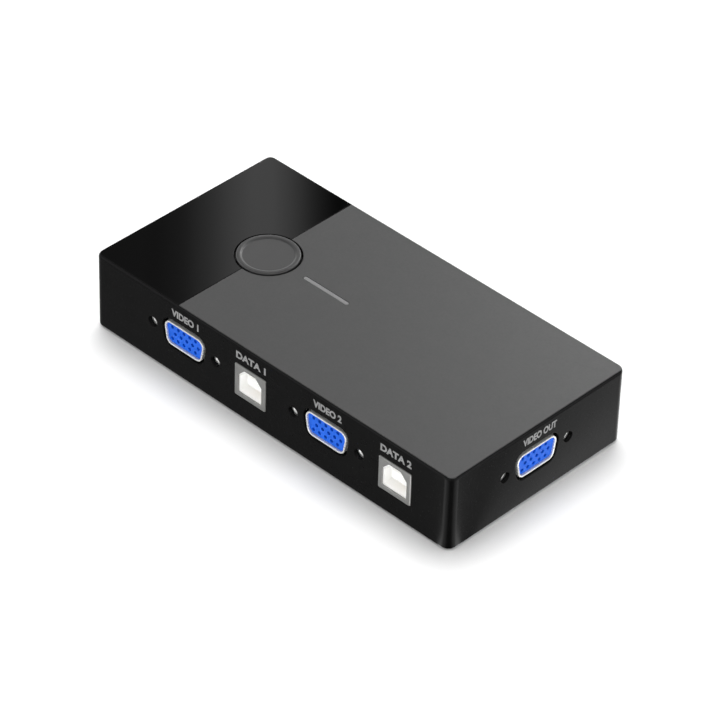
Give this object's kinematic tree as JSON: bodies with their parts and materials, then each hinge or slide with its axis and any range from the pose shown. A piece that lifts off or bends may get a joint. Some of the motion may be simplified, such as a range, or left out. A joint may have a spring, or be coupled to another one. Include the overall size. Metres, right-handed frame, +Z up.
{
  "type": "kvm switch",
  "caption": "Flat desktop box that shares one keyboard, mouse and monitor between computers, with a round select button and sockets on its sides.",
  "frame": {"origin": "centre of the footprint, on the surface that the rubber feet rest on", "axes": "+X from the glossy end to the video output end, +Y from the input side to the back, +Z up"},
  "size_m": [0.1378, 0.0694, 0.0254],
  "materials": {
    "case_black": "satin black moulding, fine texture",
    "gloss_black": "high-gloss black",
    "panel_grey": "matte dark grey, very fine texture",
    "button_grey": "satin dark grey",
    "indicator_frost": "frosted translucent light grey",
    "board_green": "green solder mask",
    "nickel": "bright nickel plate",
    "steel": "zinc-plated steel",
    "port_blue": "blue moulding",
    "port_white": "white moulding",
    "port_black": "black moulding",
    "foot_rubber": "soft black rubber",
    "chip_black": "moulded chip package",
    "can_aluminium": "bare can",
    "led_lens": "clear lens",
    "switch_black": "moulded switch body"
  },
  "bodies": {
    "case": {"upper_housing": "case_black", "bottom_cover": "case_black", "gloss_panel": "gloss_black", "grey_panel": "panel_grey", "light_guide": "indicator_frost", "circuit_board": "board_green", "switch_base": "switch_black", "switch_lid": "steel", "controller_chip": "chip_black", "video_switch_chip": "chip_black", "clock_crystal": "can_aluminium", "supply_capacitor_1": "can_aluminium", "supply_capacitor_2": "can_aluminium", "indicator_led_1": "led_lens", "indicator_led_2": "led_lens", "video_in_1_shell": "nickel", "video_in_1_insulator": "port_blue", "video_in_1_jack_nut_left": "nickel", "video_in_1_jack_nut_right": "nickel", "video_in_2_shell": "nickel", "video_in_2_insulator": "port_blue", "video_in_2_jack_nut_left": "nickel", "video_in_2_jack_nut_right": "nickel", "video_out_shell": "nickel", "video_out_insulator": "port_blue", "video_out_jack_nut_left": "nickel", "video_out_jack_nut_right": "nickel", "data_in_1_shell": "nickel", "data_in_1_insulator": "port_white", "data_in_2_shell": "nickel", "data_in_2_insulator": "port_white", "data_out_1_shell": "nickel", "data_out_1_insulator": "port_black", "case_screw_1": "steel", "board_screw_1": "steel", "rubber_foot_1": "foot_rubber", "data_out_2_shell": "nickel", "data_out_2_insulator": "port_black", "case_screw_2": "steel", "board_screw_2": "steel", "rubber_foot_2": "foot_rubber", "data_out_3_shell": "nickel", "data_out_3_insulator": "port_black", "case_screw_3": "steel", "board_screw_3": "steel", "rubber_foot_3": "foot_rubber", "data_out_4_shell": "nickel", "data_out_4_insulator": "port_black", "case_screw_4": "steel", "board_screw_4": "steel", "rubber_foot_4": "foot_rubber"},
    "button": {"select_button": "button_grey"},
    "plunger": {"switch_plunger": "switch_black"}
  },
  "joints": [
    {"name": "button_press", "type": "slide", "parent": "case", "child": "button", "axis": [0, 0, -1], "range_m": [0, 0.0005], "stiffness_N_per_m": 1600, "springref_m": -0.0005},
    {"name": "plunger_press", "type": "slide", "parent": "case", "child": "plunger", "axis": [0, 0, -1], "range_m": [0, 0.0005]}
  ],
  "couplings": [
    {"joint": "plunger_press", "follows": "button_press", "ratio": 1}
  ]
}
